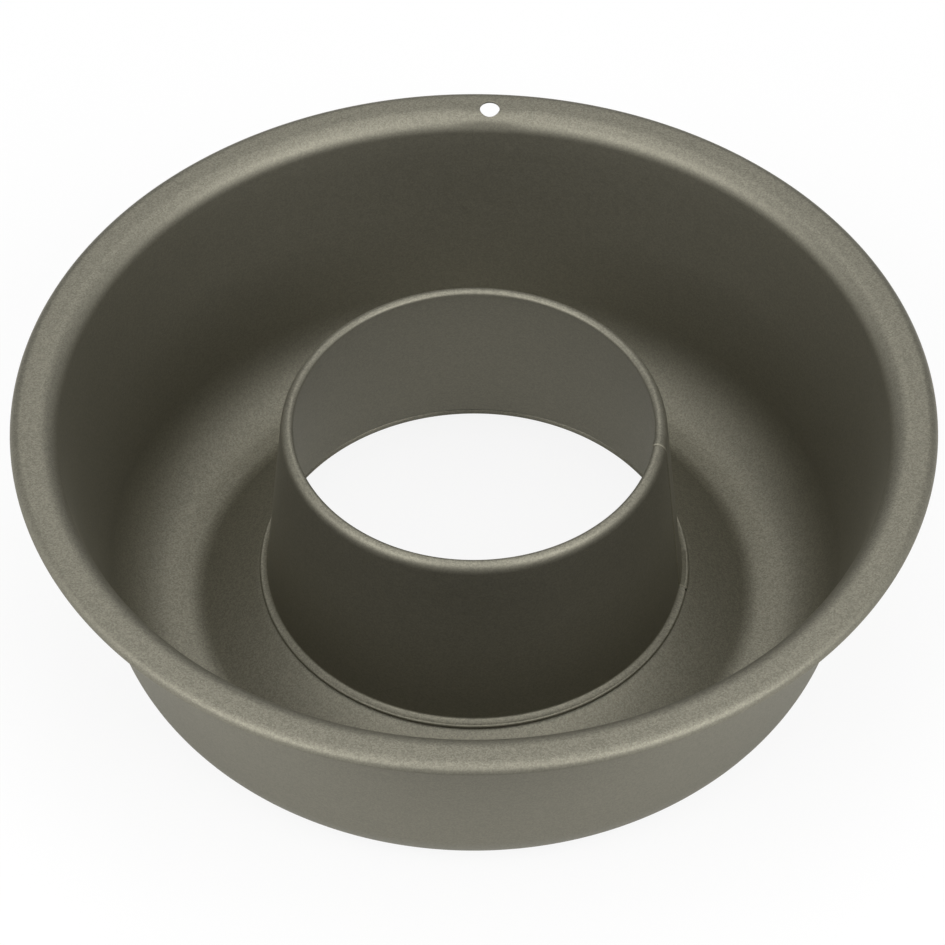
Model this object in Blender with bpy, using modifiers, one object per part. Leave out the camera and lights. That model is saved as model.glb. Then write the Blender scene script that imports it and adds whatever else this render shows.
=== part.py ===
# Ring cake pan: a deep-drawn sheet body and a centre tube clinched into its floor.
# Metres, +Z up. The origin is on the centre line, level with the ring that the pan stands on.
# Each sheet is drawn as the line of its middle, turned about Z and given its thickness.

import math

import bmesh
import bpy

# Sheet and clearance
BODY_SHEET = 0.0006          # thickness of the drawn body
TUBE_SHEET = 0.0005          # thickness of the rolled tube
JOINT_GAP = 0.0003           # clearance between tube and body all round the clinch

# Body: overall
RIM_RADIUS = 0.130           # centre line to the outside of the turned-down lip
PAN_HEIGHT = 0.0779          # resting ring to the top of the flange

# Body: flange and lip
FLANGE_WIDTH = 0.01345       # lip's outside to the inside of the wall's top
FLANGE_FILLET = 0.0062       # radius on the upper side, from flange to wall
LIP_BEND = 0.0031            # outside radius of the turned-down lip
LIP_TURN = math.radians(76)  # how far the lip turns down from level

# Body: wall and trough
WALL_TAPER = math.radians(11.0)
OUTER_BEND = 0.0207          # inside radius, from wall to the resting ring
REST_WIDTH = 0.0020          # width of the flat ring that the pan stands on
INNER_BEND = 0.0130          # inside radius, from the resting ring to the sloping floor

# Body: sloping floor and the level seat round the hole
FLOOR_WIDTH = 0.0229         # resting ring's inner edge to the edge of the hole
SEAT_HEIGHT = 0.0130         # resting ring to the upper side of the seat
SEAT_WIDTH = 0.0024          # level part of the seat, from the hole outwards
SEAT_BEND = 0.0016           # upper radius from the seat to the sloping floor

# Hanging hole in the flange
HANG_HOLE_DIAMETER = 0.0062
HANG_HOLE_INSET = 0.00805    # lip's outside to the middle of the hole
HANG_HOLE_AZIMUTH = math.radians(87.7)

# Tube
TUBE_DROP = 0.0061           # top of the flange down to the top of the curl
TUBE_TAPER = math.radians(5.85)
CURL_BEND = 0.0024           # outside radius of the curl at the top
CURL_TURN = math.radians(30.5)  # how far the free edge turns down past level, on the inside
FOOT_FILLET = 0.00045        # outside radius where the cone turns into the bead
BEAD_HEIGHT = 0.0017         # outside height of the folded bead
BEAD_REACH = 0.0019          # how far the bead stands out past the neck
FLARE_REACH = 0.0012         # how far the flare runs out under the floor, past the hole

# Fineness of the turned shapes
TURN_STEPS = 72
MERGE_DISTANCE = 0.00001
QUARTER = math.pi / 2


def arc(centre, radius, start, end, pieces):
    """Points on a circle, from one angle to another, both ends included."""
    angles = [start + (end - start) * index / pieces for index in range(pieces + 1)]
    return [(centre[0] + radius * math.cos(angle), centre[1] + radius * math.sin(angle)) for angle in angles]


def joined(*runs):
    """One line through all runs, without the points that two runs share."""
    line = []
    for run in runs:
        for point in run:
            if not line or math.dist(line[-1], point) > MERGE_DISTANCE:
                line.append(point)
    return line


def rest_ring():
    """Outer and inner radius of the flat ring, found by going down the wall from the flange."""
    wall_inside = RIM_RADIUS - FLANGE_WIDTH
    fillet_end = PAN_HEIGHT - FLANGE_FILLET * (1 - math.sin(WALL_TAPER))
    bend_top = BODY_SHEET + OUTER_BEND * (1 - math.sin(WALL_TAPER))
    bend_inside = wall_inside - math.tan(WALL_TAPER) * (fillet_end - bend_top)
    outer = bend_inside - OUTER_BEND * math.cos(WALL_TAPER)
    return outer, outer - REST_WIDTH


def hole_radius():
    """Radius of the hole that the tube goes through."""
    return rest_ring()[1] - FLOOR_WIDTH


def body_profile():
    """Middle of the body's sheet, from the lip's free edge to the edge of the hole."""
    half = BODY_SHEET / 2
    rest_outer, rest_inner = rest_ring()
    hole = hole_radius()

    # lip, turned down at the outside, and fillet from the level flange into the leaning wall
    lip_centre = (RIM_RADIUS - LIP_BEND * math.sin(LIP_TURN), PAN_HEIGHT - LIP_BEND)
    lip = arc(lip_centre, LIP_BEND - half, QUARTER - LIP_TURN, QUARTER, 3)
    fillet_reach = RIM_RADIUS - FLANGE_WIDTH + FLANGE_FILLET * math.cos(WALL_TAPER)
    fillet_centre = (fillet_reach, PAN_HEIGHT - FLANGE_FILLET)
    fillet = arc(fillet_centre, FLANGE_FILLET - half, QUARTER, math.pi - WALL_TAPER, 4)

    # bend from the wall to the resting ring
    outer_centre = (rest_outer, BODY_SHEET + OUTER_BEND)
    outer_bend = arc(outer_centre, OUTER_BEND + half, -WALL_TAPER, -QUARTER, 6)

    # bend from the ring to the slope, and from the slope to the seat: the slope touches both
    inner_centre = (rest_inner, BODY_SHEET + INNER_BEND)
    seat_centre = (hole + SEAT_WIDTH, SEAT_HEIGHT - SEAT_BEND)
    across = inner_centre[0] - seat_centre[0]
    up = inner_centre[1] - seat_centre[1]
    slope = math.asin((INNER_BEND + SEAT_BEND) / math.hypot(across, up)) - math.atan2(up, across)
    inner_bend = arc(inner_centre, INNER_BEND + half, -QUARTER, -QUARTER - slope, 3)
    seat_bend = arc(seat_centre, SEAT_BEND - half, QUARTER - slope, QUARTER, 2)
    seat_edge = [(hole, SEAT_HEIGHT - half)]

    return joined(lip, fillet, outer_bend, inner_bend, seat_bend, seat_edge)


def tube_profile():
    """Middle of the tube's sheet, from the free edge of the curl to the edge of the flare."""
    half = TUBE_SHEET / 2
    hole = hole_radius()
    neck_outside = hole - JOINT_GAP
    bead_bottom = SEAT_HEIGHT + JOINT_GAP

    # fillet at the foot, then the cone up to the curl, which it touches
    foot_radius = FOOT_FILLET + half
    foot_centre = (neck_outside - half + foot_radius, bead_bottom + BEAD_HEIGHT + FOOT_FILLET)
    foot = arc(foot_centre, foot_radius, math.pi + TUBE_TAPER, math.pi + QUARTER, 3)
    curl_radius = CURL_BEND - half
    curl_height = PAN_HEIGHT - TUBE_DROP - CURL_BEND
    cone_top = curl_height + curl_radius * math.sin(TUBE_TAPER)
    cone_reach = foot[0][0] - math.tan(TUBE_TAPER) * (cone_top - foot[0][1])
    curl_centre = (cone_reach - curl_radius * math.cos(TUBE_TAPER), curl_height)
    curl = arc(curl_centre, curl_radius, QUARTER + CURL_TURN, TUBE_TAPER, 7)

    # bead: out, round and back above the seat
    fold_radius = BEAD_HEIGHT / 2 - half
    fold_centre = (neck_outside + BEAD_REACH - BEAD_HEIGHT / 2, bead_bottom + BEAD_HEIGHT / 2)
    fold = arc(fold_centre, fold_radius, QUARTER, -QUARTER, 4)

    # neck: wraps the edge of the hole at an even clearance, then flares out under the floor
    wrap_radius = JOINT_GAP + half
    upper_wrap = arc((hole, SEAT_HEIGHT), wrap_radius, QUARTER, math.pi, 3)
    lower_wrap = arc((hole, SEAT_HEIGHT - BODY_SHEET), wrap_radius, math.pi, math.pi + QUARTER, 3)
    flare_edge = [(hole + FLARE_REACH, SEAT_HEIGHT - BODY_SHEET - wrap_radius)]

    return joined(curl, foot, fold, upper_wrap, lower_wrap, flare_edge)


def turned_sheet(name, profile, thickness, collection):
    """A sheet-metal shell: the profile turned about Z and thickened to both sides."""
    mesh = bpy.data.meshes.new(name)
    shape = bmesh.new()
    corners = [shape.verts.new((radius, 0.0, height)) for radius, height in profile]
    for first, second in zip(corners, corners[1:]):
        shape.edges.new((first, second))
    shape.to_mesh(mesh)
    shape.free()
    sheet = bpy.data.objects.new(name, mesh)
    collection.objects.link(sheet)

    turn = sheet.modifiers.new("turn", "SCREW")
    turn.axis = "Z"
    turn.angle = 2 * math.pi
    turn.steps = TURN_STEPS
    turn.render_steps = TURN_STEPS
    turn.use_merge_vertices = True
    turn.merge_threshold = MERGE_DISTANCE
    turn.use_smooth_shade = True

    wall = sheet.modifiers.new("sheet", "SOLIDIFY")
    wall.thickness = thickness
    wall.offset = 0.0
    wall.use_even_offset = True
    wall.use_rim = True
    return sheet


def coating(name, colour, metallic, roughness):
    """Metal-flake non-stick coating as one plain shader."""
    material = bpy.data.materials.new(name)
    material.use_nodes = True
    shader = material.node_tree.nodes["Principled BSDF"]
    shader.inputs["Base Color"].default_value = (*colour, 1.0)
    shader.inputs["Metallic"].default_value = metallic
    shader.inputs["Roughness"].default_value = roughness
    return material


def hang_hole_cutter(collection):
    """Upright cylinder that punches the hanging hole through the flange."""
    reach = RIM_RADIUS - HANG_HOLE_INSET
    place = (reach * math.cos(HANG_HOLE_AZIMUTH), reach * math.sin(HANG_HOLE_AZIMUTH), PAN_HEIGHT)
    bpy.ops.mesh.primitive_cylinder_add(
        vertices=24, radius=HANG_HOLE_DIAMETER / 2, depth=2 * HANG_HOLE_DIAMETER, location=place)
    cutter = bpy.context.object
    cutter.name = "hang_hole_cutter"
    for owner in list(cutter.users_collection):
        owner.objects.unlink(cutter)
    collection.objects.link(cutter)
    cutter.hide_render = True
    cutter.display_type = "WIRE"
    return cutter


def pan_body(collection, cutters):
    """Drawn body with its flange, wall, trough, sloping floor, seat and hanging hole."""
    body = turned_sheet("pan_body", body_profile(), BODY_SHEET, collection)
    punch = body.modifiers.new("hang hole", "BOOLEAN")
    punch.operation = "DIFFERENCE"
    punch.solver = "EXACT"
    punch.object = hang_hole_cutter(cutters)
    body.data.materials.append(coating("body_coating", (0.235, 0.225, 0.175), 0.75, 0.42))
    return body


def centre_tube(collection):
    """Cone with an inward curl, a folded bead on the seat and a flare under it."""
    tube = turned_sheet("centre_tube", tube_profile(), TUBE_SHEET, collection)
    tube.data.materials.append(coating("tube_coating", (0.225, 0.215, 0.168), 0.75, 0.42))
    return tube


def main():
    for old in list(bpy.data.objects):
        bpy.data.objects.remove(old)
    pan = bpy.data.collections.new("ring_cake_pan")
    cutters = bpy.data.collections.new("cutters")
    bpy.context.scene.collection.children.link(pan)
    bpy.context.scene.collection.children.link(cutters)
    pan_body(pan, cutters)
    centre_tube(pan)


main()
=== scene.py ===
import math

import bmesh
import bpy
from mathutils import Matrix, Vector


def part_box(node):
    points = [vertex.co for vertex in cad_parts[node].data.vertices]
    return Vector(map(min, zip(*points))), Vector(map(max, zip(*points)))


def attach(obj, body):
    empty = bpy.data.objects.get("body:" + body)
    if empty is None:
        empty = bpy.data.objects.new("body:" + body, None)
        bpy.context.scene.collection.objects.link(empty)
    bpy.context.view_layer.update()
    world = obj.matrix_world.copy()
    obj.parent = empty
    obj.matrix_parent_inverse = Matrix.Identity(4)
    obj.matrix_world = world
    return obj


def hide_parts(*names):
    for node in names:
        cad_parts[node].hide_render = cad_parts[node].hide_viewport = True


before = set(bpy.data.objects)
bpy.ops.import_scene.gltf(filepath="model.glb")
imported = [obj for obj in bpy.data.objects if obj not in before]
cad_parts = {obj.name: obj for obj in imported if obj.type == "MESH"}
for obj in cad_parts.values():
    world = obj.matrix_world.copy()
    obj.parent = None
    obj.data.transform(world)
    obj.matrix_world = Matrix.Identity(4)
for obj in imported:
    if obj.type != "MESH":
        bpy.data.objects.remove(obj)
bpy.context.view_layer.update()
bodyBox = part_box("pan_body")
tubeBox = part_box("centre_tube")
mm = 0.001
quarter = math.pi / 2
plainWhite = (1, 1, 1, 1)
plainBlack = (0, 0, 0, 1)
print("frame loaded:", sorted(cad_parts))


# shader building

class Value:
    # one shader socket, so that maths on masks reads as plain expressions
    def __init__(self, maker, socket):
        self.maker = maker
        self.socket = socket

    def math(self, operation, *others):
        return self.maker.add("ShaderNodeMath", {"operation": operation}, [self, *others])

    def __add__(self, other):
        return self.math("ADD", other)

    def __sub__(self, other):
        return self.math("SUBTRACT", other)

    def __rsub__(self, other):
        return self.maker.add("ShaderNodeMath", {"operation": "SUBTRACT"}, [other, self])

    def __mul__(self, other):
        return self.math("MULTIPLY", other)


class Finish:
    # the nodes of one new material or world, and the methods that add them
    def __init__(self, owner, output="ShaderNodeOutputMaterial"):
        self.owner = owner
        self.output = output
        owner.use_nodes = True
        self.tree = owner.node_tree
        self.tree.nodes.clear()

    def add(self, kind, settings=None, sockets=None, out=0):
        node = self.tree.nodes.new(kind)
        for key, setting in (settings or {}).items():
            setattr(node, key, setting)
        pairs = enumerate(sockets) if isinstance(sockets, list) else (sockets or {}).items()
        for key, given in pairs:
            if isinstance(given, Value):
                self.tree.links.new(given.socket, node.inputs[key])
            else:
                node.inputs[key].default_value = given
        return Value(self, node.outputs[out]) if len(node.outputs) else None

    def ray(self, kind):
        return self.add("ShaderNodeLightPath", out=kind)

    def place(self, kind):
        return self.add("ShaderNodeTexCoord", out=kind)

    def vectorMath(self, operation, *given, out=0):
        return self.add("ShaderNodeVectorMath", {"operation": operation}, list(given), out)

    def part(self, vector, axis):
        return self.add("ShaderNodeSeparateXYZ", None, [vector], out=axis)

    def fade(self, value, start, end):
        # 1 up to start, falling softly to 0 at end
        return self.add("ShaderNodeMapRange", {"interpolation_type": "SMOOTHSTEP"},
                        {"Value": value, "From Min": start, "From Max": end, "To Min": 1.0, "To Max": 0.0})

    def mixColours(self, factor, first, second):
        # the colour sockets share their names with others, so they go by number
        return self.add("ShaderNodeMix", {"data_type": "RGBA"},
                        {"Factor": factor, 6: first, 7: second}, out=2)

    def close(self, shader):
        self.add(self.output, None, {"Surface": shader})
        return self.owner


# camera: the long lens is turned slightly so that the pan sits in the picture as in the photograph

cameraSizes = {
    "focalPixels": 5000,
    "imagePixels": 945,
    "sensor": 36.0,          # mm
    "elevation": math.radians(46.88),
    "distance": 1.4006,      # m from the middle of the rim
    "yaw": 0.0003,
    "pitch": -0.01275,
    "roll": 0.0021,
    "nearest": 0.05,         # m
    "farthest": 50,          # m
}


def makeCamera(s):
    data = bpy.data.cameras.new("photoCamera")
    data.sensor_width = s["sensor"]
    data.lens = s["focalPixels"] * s["sensor"] / s["imagePixels"]
    data.clip_start = s["nearest"]
    data.clip_end = s["farthest"]
    camera = bpy.data.objects.new("photoCamera", data)
    rimCentre = Vector((0, 0, bodyBox[1].z))
    back = Vector((0, -math.cos(s["elevation"]), math.sin(s["elevation"])))
    right = Vector((1, 0, 0))
    up = back.cross(right)
    turn = Matrix.Rotation(s["yaw"], 3, up)
    turn = Matrix.Rotation(s["pitch"], 3, turn @ right) @ turn
    turn = Matrix.Rotation(s["roll"], 3, turn @ -back) @ turn
    axes = Matrix((turn @ right, turn @ up, turn @ back)).transposed()
    camera.matrix_world = Matrix.Translation(rimCentre + back * s["distance"]) @ axes.to_4x4()
    bpy.context.scene.collection.objects.link(camera)
    bpy.context.scene.camera = camera
    print("camera set")


# light: softboxes stand round the pan as in a light tent, all at one distance

lightTent = {
    "boxSide": 0.9,          # m
    "distance": 1.6,         # m from the middle of the pan
    "aimHeight": 0.05,       # m
    "ambient": 0.31,         # level of the tent's cloth between the boxes
    "boxes": {               # azimuth and elevation in degrees, 270 is the camera's side; level 1 is white
        "above": (270, 90, 1.97),
        "backHigh": (90, 62, 1.35),
        "backMiddle": (90, 35, 0.39),
        "leftHigh": (180, 55, 0.56),
        "leftLow": (180, 22, 1.41),
        "rightHigh": (0, 55, 0.85),
        "rightLow": (0, 22, 0.76),
        "frontLeft": (225, 40, 4.80),
        "frontRight": (315, 40, 5.35),
    },
}


def makeLights(s):
    centre = Vector((0, 0, s["aimHeight"]))
    for name, (azimuth, elevation, level) in s["boxes"].items():
        turn = math.radians(azimuth)
        rise = math.radians(elevation)
        outward = Vector((math.cos(turn) * math.cos(rise), math.sin(turn) * math.cos(rise), math.sin(rise)))
        lamp = bpy.data.lights.new(name, "AREA")
        lamp.shape = "SQUARE"
        lamp.size = s["boxSide"]
        lamp.energy = level * math.pi * s["boxSide"] ** 2
        box = bpy.data.objects.new(name, lamp)
        box.location = centre + outward * s["distance"]
        box.rotation_mode = "QUATERNION"
        box.rotation_quaternion = (-outward).to_track_quat("-Z", "Y")
        box.visible_camera = False
        bpy.context.scene.collection.objects.link(box)

    # the camera sees plain white behind everything
    finish = Finish(bpy.data.worlds.new("lightTent"), "ShaderNodeOutputWorld")
    strength = finish.ray("Is Camera Ray") * (1 - s["ambient"]) + s["ambient"]
    cloth = finish.add("ShaderNodeBackground", None, {"Color": plainWhite, "Strength": strength})
    bpy.context.scene.world = finish.close(cloth)
    print("lights set:", len(s["boxes"]))


# meshes

meshRules = {
    "samePoint": 0.005,      # mm, points of a profile that are nearer than this are one
    "sameCorner": 0.001,     # mm, the same for corners of a mesh
    "cutAngle": math.radians(70),    # the cut edges of a sheet turn by more than this
    "punchAngle": math.radians(50),  # the same for the edges of a punched hole
    "sharpAngle": math.radians(38),  # edges that turn by more are shown sharp
    "roundSteps": 2,
}


def newObject(name, shape):
    mesh = bpy.data.meshes.new(name)
    shape.to_mesh(mesh)
    shape.free()
    made = bpy.data.objects.new(name, mesh)
    bpy.context.scene.collection.objects.link(made)
    return made


def applyModifiers(piece):
    bpy.context.view_layer.update()
    evaluated = piece.evaluated_get(bpy.context.evaluated_depsgraph_get())
    applied = bpy.data.meshes.new_from_object(evaluated)
    piece.modifiers.clear()
    old = piece.data
    piece.data = applied
    bpy.data.meshes.remove(old)


def roundEdges(shape, edges, radius):
    bmesh.ops.bevel(shape, geom=edges, offset=radius * mm, offset_type="OFFSET",
                    segments=meshRules["roundSteps"], profile=0.5, affect="EDGES", material=-1)


def softStep(value, start, end):
    # 1 up to start, falling softly to 0 at end
    share = min(max((end - value) / (end - start), 0), 1)
    return share * share * (3 - 2 * share)


# floor: a white table that keeps a faint shadow

tableLook = {
    "side": 8.0,             # m
    "drop": 0.2,             # mm between the pan and the table
    "colour": 0.8,
    "plainSeen": 0.88,       # share of plain white that the camera sees, the rest is lit
    "plainMirrored": 0.15,   # share of plain white that the metal mirrors
    "paintedReflectionShade": 0.65,       # how far the painted dark reflection before the pan dims the table in the metal
    "paintedReflectionEdge": (0.132, 0.165),  # m from the middle, where it starts and is full
    "paintedReflectionSide": (0.07, 0.13),    # m to each side, where it fades
}


def makeTable(s):
    shape = bmesh.new()
    bmesh.ops.create_grid(shape, x_segments=1, y_segments=1, size=s["side"] / 2)
    table = newObject("table", shape)
    table.location.z = -s["drop"] * mm
    finish = Finish(bpy.data.materials.new("whiteTable"))
    lit = finish.add("ShaderNodeBsdfDiffuse", None, {"Color": (s["colour"], s["colour"], s["colour"], 1.0)})
    plain = finish.add("ShaderNodeEmission", None, {"Color": plainWhite, "Strength": 1.0})
    glossy = finish.ray("Is Glossy Ray")
    mirrored = (glossy + finish.ray("Is Transmission Ray")) * s["plainMirrored"]
    share = finish.ray("Is Camera Ray") * s["plainSeen"] + mirrored
    surface = finish.add("ShaderNodeMixShader", None, [share, lit, plain])

    # painted shade: a dark patch of table before the pan that only the metal mirrors, dimming the table that
    # the pan's outer wall reflects
    where = finish.place("Object")
    before = finish.part(where, "Y") * -1
    aside = finish.part(where, "X").math("ABSOLUTE")
    paintedReflectionMask = (1 - finish.fade(before, *s["paintedReflectionEdge"])) * finish.fade(aside, *s["paintedReflectionSide"])
    paintedReflectionMask = paintedReflectionMask * glossy * s["paintedReflectionShade"]
    paintedDarkReflection = finish.add("ShaderNodeEmission", None, {"Color": plainBlack, "Strength": 0.0})
    surface = finish.add("ShaderNodeMixShader", None, [paintedReflectionMask, surface, paintedDarkReflection])
    table.data.materials.append(finish.close(surface))
    print("table set")


# turned sheet metal: profiles in mm are the middle of the sheet, as radius and height

def ovalArc(centre, reach, rise, start, end, pieces):
    angles = [start + (end - start) * index / pieces for index in range(pieces + 1)]
    return [(centre[0] + reach * math.cos(angle), centre[1] + rise * math.sin(angle)) for angle in angles]


def arc(centre, radius, start, end, pieces):
    return ovalArc(centre, radius, radius, start, end, pieces)


def straight(first, last, pieces):
    shares = [index / pieces for index in range(pieces + 1)]
    return [tuple(a + (b - a) * share for a, b in zip(first, last)) for share in shares]


def joined(*runs):
    # one line through all runs, without the points that two runs share
    line = []
    for run in runs:
        line += [point for point in run
                 if not line or math.dist(line[-1], point) > meshRules["samePoint"]]
    return line


def turnedSurface(profile, steps):
    shape = bmesh.new()
    corners = [shape.verts.new((radius * mm, 0.0, height * mm)) for radius, height in profile]
    for first, second in zip(corners, corners[1:]):
        shape.edges.new((first, second))
    bmesh.ops.spin(shape, geom=shape.verts[:] + shape.edges[:], cent=(0, 0, 0), axis=(0, 0, 1),
                   angle=2 * math.pi, steps=steps, use_merge=True, use_duplicate=False)
    bmesh.ops.remove_doubles(shape, verts=shape.verts, dist=meshRules["sameCorner"] * mm)
    bmesh.ops.recalc_face_normals(shape, faces=shape.faces)
    return shape


def thickened(name, shape, s):
    # gives the sheet its thickness to both sides and rounds its cut edges
    sheet = newObject(name, shape)
    wall = sheet.modifiers.new("sheet", "SOLIDIFY")
    wall.thickness = s["sheet"] * mm
    wall.offset = 0.0
    wall.use_even_offset = True
    applyModifiers(sheet)
    shape = bmesh.new()
    shape.from_mesh(sheet.data)
    cutEdges = [edge for edge in shape.edges
                if len(edge.link_faces) == 2 and edge.calc_face_angle() > meshRules["cutAngle"]]
    roundEdges(shape, cutEdges, s["edgeRound"])
    shape.to_mesh(sheet.data)
    shape.free()
    return sheet


def finishPiece(piece, material, node):
    piece.data.materials.clear()
    piece.data.materials.append(material)
    piece.data.shade_smooth()
    piece.data.set_sharp_from_angle(angle=meshRules["sharpAngle"])
    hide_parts(node)
    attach(piece, "root")
    print("made", piece.name, len(piece.data.polygons), "faces")


# body: one drawn sheet from the turned-down lip to the edge of the hole in the floor, in mm

panBodySizes = {
    "sheet": 0.6,
    "edgeRound": 0.12,
    "rimRadius": bodyBox[1].x / mm,
    "height": bodyBox[1].z / mm,
    "flangeWidth": 13.45,
    "filletRadius": 6.2,
    "lipBend": 3.1,
    "lipTurn": math.radians(76),
    "wallTaper": math.radians(11.0),
    "outerBend": 20.7,
    "restWidth": 2.0,
    "innerBend": 11.0,
    "floorWidth": 22.54,
    "holeEdgeHeight": 12.38,
    "hangHoleDiameter": 5.85,
    "hangHoleInset": 7.9,
    "hangHoleAzimuth": math.radians(87.7),
    "hangHoleLand": 0.6,     # how far the fillet is lifted there
    "hangHoleFade": 9.0,     # how far beside the hole the lift fades
    "hangHoleDepth": (1, 3.2),  # how far down the fillet it starts to fade, and is gone
    "punchLength": 10,
    "punchMiss": 0.02,       # how far a corner of the punched edge may lie off its circle
    "punchSteps": 64,
    "turnSteps": 360,
    "lipSteps": 10,
    "flangeSteps": 3,
    "filletSteps": 14,
    "wallSteps": 8,
    "outerBendSteps": 22,
    "innerBendSteps": 12,
    "floorSteps": 6,
}


def restRing(s):
    # outer and inner radius of the flat ring that the pan stands on
    filletEnd = s["height"] - s["filletRadius"] * (1 - math.sin(s["wallTaper"]))
    bendTop = s["sheet"] + s["outerBend"] * (1 - math.sin(s["wallTaper"]))
    bendInside = s["rimRadius"] - s["flangeWidth"] - math.tan(s["wallTaper"]) * (filletEnd - bendTop)
    outer = bendInside - s["outerBend"] * math.cos(s["wallTaper"])
    return outer, outer - s["restWidth"]


def holeRadius(s):
    return restRing(s)[1] - s["floorWidth"]


def floorSlope(s):
    # the straight floor runs from the edge of the hole and touches the inner bend
    across = restRing(s)[1] - holeRadius(s)
    up = s["sheet"] + s["innerBend"] - s["holeEdgeHeight"]
    return math.asin(s["innerBend"] / math.hypot(across, up)) - math.atan2(up, across)


def panBodyProfile(s):
    half = s["sheet"] / 2
    restOuter, restInner = restRing(s)

    # lip, flange and the fillet into the leaning wall
    lipCentre = (s["rimRadius"] - s["lipBend"] * math.sin(s["lipTurn"]), s["height"] - s["lipBend"])
    lip = arc(lipCentre, s["lipBend"] - half, quarter - s["lipTurn"], quarter, s["lipSteps"])
    filletReach = s["rimRadius"] - s["flangeWidth"] + s["filletRadius"] * math.cos(s["wallTaper"])
    filletCentre = (filletReach, s["height"] - s["filletRadius"])
    filletEnd = math.pi - s["wallTaper"]
    fillet = arc(filletCentre, s["filletRadius"] - half, quarter, filletEnd, s["filletSteps"])
    flange = straight(lip[-1], fillet[0], s["flangeSteps"])

    # wall and trough
    outerCentre = (restOuter, s["sheet"] + s["outerBend"])
    outerBend = arc(outerCentre, s["outerBend"] + half, -s["wallTaper"], -quarter, s["outerBendSteps"])
    wall = straight(fillet[-1], outerBend[0], s["wallSteps"])

    # floor that climbs to the edge of the hole
    slope = floorSlope(s)
    innerCentre = (restInner, s["sheet"] + s["innerBend"])
    innerBend = arc(innerCentre, s["innerBend"] + half, -quarter, -quarter - slope, s["innerBendSteps"])
    edgeMiddle = (holeRadius(s) - half * math.sin(slope), s["holeEdgeHeight"] - half * math.cos(slope))
    floor = straight(innerBend[-1], edgeMiddle, s["floorSteps"])
    return joined(lip, flange, fillet, wall, outerBend, innerBend, floor)


def hangHolePlace(s):
    reach = (s["rimRadius"] - s["hangHoleInset"]) * mm
    turn = s["hangHoleAzimuth"]
    return Vector((reach * math.cos(turn), reach * math.sin(turn), s["height"] * mm))


def pressFlat(shape, place, s):
    # the flange stays level round the hanging hole, so the fillet starts further in there
    across = Vector((-place.y, place.x)).normalized()
    radius = s["hangHoleDiameter"] / 2
    for vert in shape.verts:
        aside = abs(vert.co.xy.dot(across)) / mm
        inset = s["rimRadius"] - vert.co.xy.length / mm
        depth = s["height"] - s["sheet"] / 2 - vert.co.z / mm
        if vert.co.y > 0 and inset > s["hangHoleInset"] - radius and depth > 0:
            share = softStep(aside, radius, radius + s["hangHoleFade"]) * softStep(depth, *s["hangHoleDepth"])
            lift = s["hangHoleLand"] * (1 - math.exp(-depth / s["hangHoleLand"]))
            vert.co.z += lift * share * mm


def punchHangingHole(body, place, s):
    radius = s["hangHoleDiameter"] / 2 * mm
    shape = bmesh.new()
    bmesh.ops.create_cone(shape, cap_ends=True, segments=s["punchSteps"], radius1=radius, radius2=radius,
                          depth=s["punchLength"] * mm, matrix=Matrix.Translation(place))
    punch = newObject("hangingHolePunch", shape)
    cut = body.modifiers.new("hanging hole", "BOOLEAN")
    cut.operation = "DIFFERENCE"
    cut.solver = "EXACT"
    cut.object = punch
    applyModifiers(body)
    bpy.data.objects.remove(punch)

    # the coating rounds the punched edge
    shape = bmesh.new()
    shape.from_mesh(body.data)
    onEdge = {vert for vert in shape.verts
              if abs((vert.co.xy - place.xy).length - radius) < s["punchMiss"] * mm}
    rims = [edge for edge in shape.edges
            if onEdge.issuperset(edge.verts) and len(edge.link_faces) == 2
            and edge.calc_face_angle() > meshRules["punchAngle"]]
    roundEdges(shape, rims, s["edgeRound"])
    shape.to_mesh(body.data)
    shape.free()


def makePanBody(material):
    s = panBodySizes
    shape = turnedSurface(panBodyProfile(s), s["turnSteps"])
    place = hangHolePlace(s)
    pressFlat(shape, place, s)
    body = thickened("panBody", shape, s)
    punchHangingHole(body, place, s)
    finishPiece(body, material, "pan_body")


# tube: a cone rolled from a strip, with a rolled top edge, a bead on the sloping floor and a flare
# under it, in mm

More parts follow.
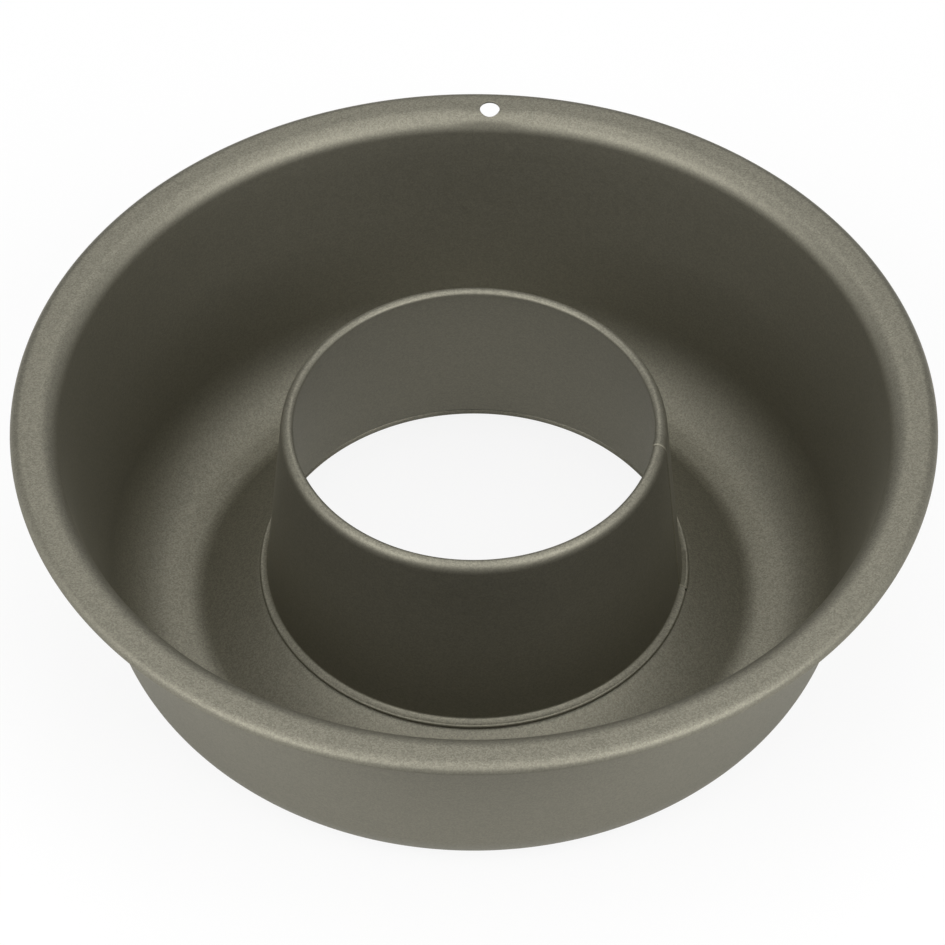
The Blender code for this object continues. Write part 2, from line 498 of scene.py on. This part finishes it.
centreTubeSizes = {
    "sheet": 0.45,
    "edgeRound": 0.1,
    "jointGap": 0.06,        # the clinch is pressed tight
    "topHeight": tubeBox[1].z / mm + 0.6,
    "taper": math.radians(5.40),
    "rollInner": 1.33,       # radius of the rolled edge on its inner side
    "rollReach": 2.45,       # how far its outer side stands out from its top
    "rollHeight": 3.8,       # in which the outer side runs into the cone
    "coneInset": 1.13,       # foot of the cone inside the edge of the hole
    "footFillet": 0.8,
    "footHeight": 14.05,     # lowest point of that fillet
    "footSlope": math.radians(24),
    "beadTop": 13.56,
    "beadReach": 1.28,       # bead's outside beyond the edge of the hole
    "foldLead": 0.3,         # radians that the fold starts before its top
    "flareReach": 1.2,
    "turnSteps": 360,
    "rollInnerSteps": 14,
    "rollOuterSteps": 16,
    "coneSteps": 8,
    "footSteps": 10,
    "foldSteps": 16,
    "wrapSteps": 6,
    "seamAzimuth": -9.5,     # degrees, where one end of the strip laps over the other
    "seamStep": 0.25,        # degrees that the step takes
    "seamLift": 0.3,         # how far the lapping end stands out
    "seamFade": 4.0,         # degrees in which it comes back
    "seamDepth": 0.1,        # how far below the middle of the bead's fold the lap reaches
    "seamMiss": 0.01,        # degrees that a corner may lie before the seam
    "seamNear": 3,           # degrees to each side in which faces are cut for it
    "seamSheenLine": (0.08, 0.2),  # how far from the step its painted bright line starts to fade, and is gone
    "beadLift": 0.3,         # the lap's lift on the bead
    "beadFade": 20.0,        # degrees in which it comes back
    "nickOffset": -0.85,     # degrees from the seam to the nick in the bead
    "nickWidth": 0.36,       # degrees
    "nickFloor": 0.6,        # share of the width that is full depth
    "nickDepth": 0.42,
    "nickReach": 0.45,       # how far in from the bead's outside it is cut
    "nickShade": (0.42, 0.6),  # how far from its middle the painted shade starts to fade, and is gone
}


def beadOutside(s):
    return holeRadius(panBodySizes) + s["beadReach"]


def foldMiddle(s):
    # the bead is two sheets high
    return s["beadTop"] - s["sheet"]


def centreTubeProfile(s):
    half = s["sheet"] / 2
    hole = holeRadius(panBodySizes)
    slope = floorSlope(panBodySizes)
    down = (-math.sin(slope), -math.cos(slope))

    # foot, where the cone turns out to the bead
    footRadius = s["footFillet"] + half
    footCentre = (hole - s["coneInset"] - half + footRadius, s["footHeight"] + s["footFillet"])
    footEnd = math.pi + quarter - s["footSlope"]
    foot = arc(footCentre, footRadius, math.pi + s["taper"], footEnd, s["footSteps"])

    # rolled edge: a round inner side and a taller outer side that runs into the cone
    reach = s["rollReach"] - half
    rise = s["rollHeight"] - half
    lean = math.atan(math.tan(s["taper"]) * rise / reach)
    rollBase = s["topHeight"] - s["rollHeight"]
    coneTop = rollBase + rise * math.sin(lean)
    coneReach = foot[0][0] - math.tan(s["taper"]) * (coneTop - foot[0][1])
    crest = coneReach - reach * math.cos(lean)
    innerCentre = (crest, s["topHeight"] - s["rollInner"])
    rollInner = arc(innerCentre, s["rollInner"] - half, math.pi, quarter, s["rollInnerSteps"])
    rollOuter = ovalArc((crest, rollBase), reach, rise, quarter, lean, s["rollOuterSteps"])
    cone = straight(rollOuter[-1], foot[0], s["coneSteps"])

    # bead, a hem that covers the edge of the hole and lies on the sloping floor
    wrapRadius = s["jointGap"] + half
    edgeTop = (hole, panBodySizes["holeEdgeHeight"])
    edgeUnder = tuple(place + panBodySizes["sheet"] * step for place, step in zip(edgeTop, down))
    room = (s["beadReach"] - half) * math.sin(slope) + (s["beadTop"] - half - edgeTop[1]) * math.cos(slope)
    foldRadius = (room - wrapRadius) / (1 + math.sin(slope) + math.cos(slope))
    foldCentre = (hole + s["beadReach"] - half - foldRadius, s["beadTop"] - half - foldRadius)
    fold = arc(foldCentre, foldRadius, quarter + s["foldLead"], -quarter - slope, s["foldSteps"])

    # neck round the edge of the hole, then the flare under the floor
    upperWrap = arc(edgeTop, wrapRadius, quarter - slope, math.pi - slope, s["wrapSteps"])
    lowerWrap = arc(edgeUnder, wrapRadius, math.pi - slope, math.pi + quarter - slope, s["wrapSteps"])
    flareEdge = (lowerWrap[-1][0] - s["flareReach"] * down[1], lowerWrap[-1][1] + s["flareReach"] * down[0])
    return joined(rollInner, rollOuter, cone, foot, fold, upperWrap, lowerWrap, [flareEdge])


def degreesPastSeam(place, s):
    turn = math.degrees(math.atan2(place.y, place.x)) - s["seamAzimuth"]
    return (turn + 180) % 360 - 180


def cutColumns(shape, s):
    # fine columns of faces at the seam's step and at the nick
    nickHalf = s["nickWidth"] / 2
    nickCuts = [s["nickOffset"] + side * nickHalf * share
                for side in (-1, 1) for share in (1, s["nickFloor"])]
    for cut in [0, -s["seamStep"]] + nickCuts:
        turn = math.radians(s["seamAzimuth"] + cut)
        near = [face for face in shape.faces
                if abs(degreesPastSeam(face.calc_center_median(), s)) < s["seamNear"]]
        nearParts = {part for face in near for part in (*face.verts, *face.edges)}
        bmesh.ops.bisect_plane(shape, geom=near + list(nearParts), dist=0.1 * meshRules["sameCorner"] * mm,
                               plane_co=(0, 0, 0), plane_no=(-math.sin(turn), math.cos(turn), 0))
    shape.normal_update()


def lapSeam(shape, s):
    # the lapping end is lifted along its normals, and comes back further round
    lowest = (foldMiddle(s) - s["seamDepth"]) * mm
    beadEnd = (s["footHeight"] + s["footFillet"]) * mm
    moves = []
    for vert in shape.verts:
        past = degreesPastSeam(vert.co, s)
        lift = s["seamLift"]
        fade = s["seamFade"]
        if vert.co.z < beadEnd:
            lift = s["beadLift"]
            fade = s["beadFade"]
        if -s["seamMiss"] < past < fade and vert.co.z > lowest:
            outward = Vector((vert.normal.x, vert.normal.y, max(vert.normal.z, 0)))
            moves.append((vert, outward * lift * softStep(past, 0, fade) * mm))
    for vert, move in moves:
        vert.co += move


def nickBead(tube, s):
    # the nick that the weld leaves in the outer side of the bead: only the corners of its floor move in
    shape = bmesh.new()
    shape.from_mesh(tube.data)
    outside = beadOutside(s)
    floorHalf = s["nickWidth"] / 2 * (1 + s["nickFloor"]) / 2
    for vert in shape.verts:
        past = degreesPastSeam(vert.co, s) - s["nickOffset"]
        reach = vert.co.xy.length / mm
        if abs(past) < floorHalf and reach > outside - s["nickReach"]:
            vert.co.xy *= 1 - s["nickDepth"] / reach
    bmesh.ops.dissolve_degenerate(shape, dist=meshRules["sameCorner"] * mm, edges=shape.edges)
    shape.to_mesh(tube.data)
    shape.free()


def makeCentreTube(material):
    s = centreTubeSizes
    shape = turnedSurface(centreTubeProfile(s), s["turnSteps"])
    cutColumns(shape, s)
    lapSeam(shape, s)
    tube = thickened("centreTube", shape, s)
    nickBead(tube, s)
    finishPiece(tube, material, "centre_tube")


# coating: satin taupe with fine metal flake, the same on both pieces

coatingLook = {
    "colour": (0.236, 0.226, 0.181),
    "toneRange": 0.5,        # share of the colour that the tint may be above or below it
    "metallic": 1.0,
    "roughness": 0.55,
    "roughnessRange": 0.06,
    "flakeSize": 0.36,       # mm across one flake
    "flakeTone": 0.42,       # how far flakes differ in tone
    "flakeHeight": 0.3,      # beside the height of the mottle
    "mottleSize": 1.6,       # mm across the soft patches of the sprayed coat
    "mottleTone": 0.12,
    "mottleDetail": 2.0,
    "uprightGlintShare": 0.45,    # share of the flake and mottle contrast kept on upright walls; the rest is painted glint on surfaces that face up
    "drawTone": 0.06,        # faint rings that drawing leaves in the sheet
    "drawPitch": 1400,       # how fine they are along radius and height, per m
    "drawTurn": 3,           # how often they change round the axis
    "drawDetail": 3.0,
    "peelDepth": 0.012,      # mm of orange peel
    "peelStrength": 0.5,
    "paintedSheenTone": 0.3,       # how much brighter the painted highlight on the lap's step is
    # painted shade in the nick, near black
    "nickPaintedShadeColour": (0.004, 0.004, 0.003, 1.0),
}


def direction(turn):
    return math.cos(math.radians(turn)), math.sin(math.radians(turn))


def seamSheenAndNickShade(finish, where, s):
    # painted highlight along the step of the lap, and painted shade in the nick
    along = (*direction(s["seamAzimuth"] - s["seamStep"] / 2), 0)
    across = (-along[1], along[0], 0)
    offPlane = finish.vectorMath("DOT_PRODUCT", where, across, out="Value").math("ABSOLUTE")
    side = finish.vectorMath("DOT_PRODUCT", where, along, out="Value").math("GREATER_THAN", 0.0)
    above = finish.part(where, "Z").math("GREATER_THAN", (foldMiddle(s) - s["sheet"]) * mm)
    step = finish.fade(offPlane, *(end * mm for end in s["seamSheenLine"])) * side * above
    nickTurn = direction(s["seamAzimuth"] + s["nickOffset"])
    nickReach = beadOutside(s) * mm
    nickPlace = (nickReach * nickTurn[0], nickReach * nickTurn[1], foldMiddle(s) * mm)
    nickDistance = finish.vectorMath("DISTANCE", where, nickPlace, out="Value")
    nick = finish.fade(nickDistance, *(end * mm for end in s["nickShade"]))
    return step, nick


def makeCoating(name, look, seam=None):
    finish = Finish(bpy.data.materials.new(name))
    where = finish.place("Object")
    flakes = finish.add("ShaderNodeTexVoronoi", {"feature": "F1"},
                        {"Vector": where, "Scale": 1 / (look["flakeSize"] * mm)}, out="Color")
    flake = finish.add("ShaderNodeSeparateColor", None, [flakes], out="Red")
    mottle = finish.add("ShaderNodeTexNoise", None, {
        "Vector": where, "Scale": 1 / (look["mottleSize"] * mm), "Detail": look["mottleDetail"]})

    # rings: fine along radius and height, very long round the axis
    flat = finish.vectorMath("MULTIPLY", where, (1, 1, 0))
    radius = finish.vectorMath("LENGTH", flat, out="Value")
    facing = finish.vectorMath("NORMALIZE", flat)
    ringPlace = finish.add("ShaderNodeCombineXYZ", None, [
        radius * look["drawPitch"],
        finish.part(facing, "X") * look["drawTurn"],
        finish.part(facing, "Y") * look["drawTurn"]])
    rings = finish.add("ShaderNodeTexNoise", {"noise_dimensions": "4D"}, {
        "Vector": ringPlace, "W": finish.part(where, "Z") * look["drawPitch"],
        "Scale": 1.0, "Detail": look["drawDetail"]})

    # painted glint: flake and mottle contrast is strongest on surfaces that face up, standing in for the
    # lamps above glinting in the flakes
    level = finish.part(finish.place("Normal"), "Z").math("MAXIMUM", 0.0)
    paintedGlintWeight = level * level * (1 - look["uprightGlintShare"]) + look["uprightGlintShare"]
    tone = (flake - 0.5) * paintedGlintWeight * look["flakeTone"] + (mottle - 0.5) * paintedGlintWeight * look["mottleTone"]
    tone = tone + (rings - 0.5) * look["drawTone"] + 0.5
    if seam:
        step, nick = seamSheenAndNickShade(finish, where, seam)
        # painted highlight: the lap's step is made brighter
        tone = tone + step * look["paintedSheenTone"]
    darkest = tuple(channel * (1 - look["toneRange"]) for channel in look["colour"]) + (1.0,)
    lightest = tuple(channel * (1 + look["toneRange"]) for channel in look["colour"]) + (1.0,)
    tint = finish.mixColours(tone, darkest, lightest)
    if seam:
        # painted shade: the nick's recess is coloured near black
        tint = finish.mixColours(nick, tint, look["nickPaintedShadeColour"])
    rough = (mottle - 0.5) * look["roughnessRange"] + look["roughness"]
    bump = finish.add("ShaderNodeBump", None, {
        "Strength": look["peelStrength"], "Distance": look["peelDepth"] * mm,
        "Height": mottle + flake * look["flakeHeight"]})
    return finish.close(finish.add("ShaderNodeBsdfPrincipled", None, {
        "Base Color": tint, "Metallic": look["metallic"], "Roughness": rough, "Normal": bump}))


bpy.context.scene.view_settings.view_transform = "Standard"
makeCamera(cameraSizes)
makeLights(lightTent)
makeTable(tableLook)
makePanBody(makeCoating("panCoating", coatingLook))
makeCentreTube(makeCoating("tubeCoating", coatingLook, seam=centreTubeSizes))
